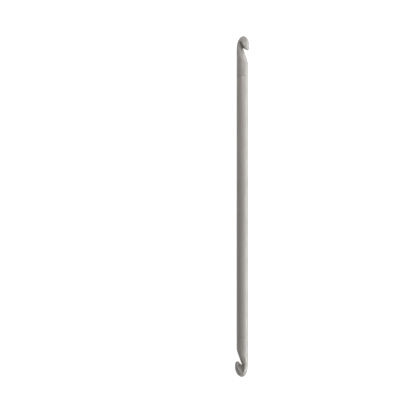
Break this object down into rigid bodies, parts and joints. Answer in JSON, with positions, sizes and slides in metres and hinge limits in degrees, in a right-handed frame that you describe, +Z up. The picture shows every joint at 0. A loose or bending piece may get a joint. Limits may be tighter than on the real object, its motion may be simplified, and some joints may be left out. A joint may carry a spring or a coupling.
{
  "type": "double-ended crochet hook",
  "caption": "Straight round plastic crochet hook with a rounded hooked head at each end, the two throats turned about the shaft from each other.",
  "frame": {"origin": "on the underside of the tube, under its middle, where it rests on a table", "axes": "+Y along the shaft towards the upper hook end, +Z up from the table, +X towards the upper throat's side"},
  "size_m": [0.0149, 0.35, 0.0128],
  "materials": {
    "tube_plastic": "satin warm grey extruded plastic",
    "hook_plastic": "satin warm grey moulded plastic, a trace darker than the tube"
  },
  "bodies": {
    "root": {"shaft_tube": "tube_plastic", "upper_hook_end": "hook_plastic", "lower_hook_end": "hook_plastic"}
  },
  "joints": []
}
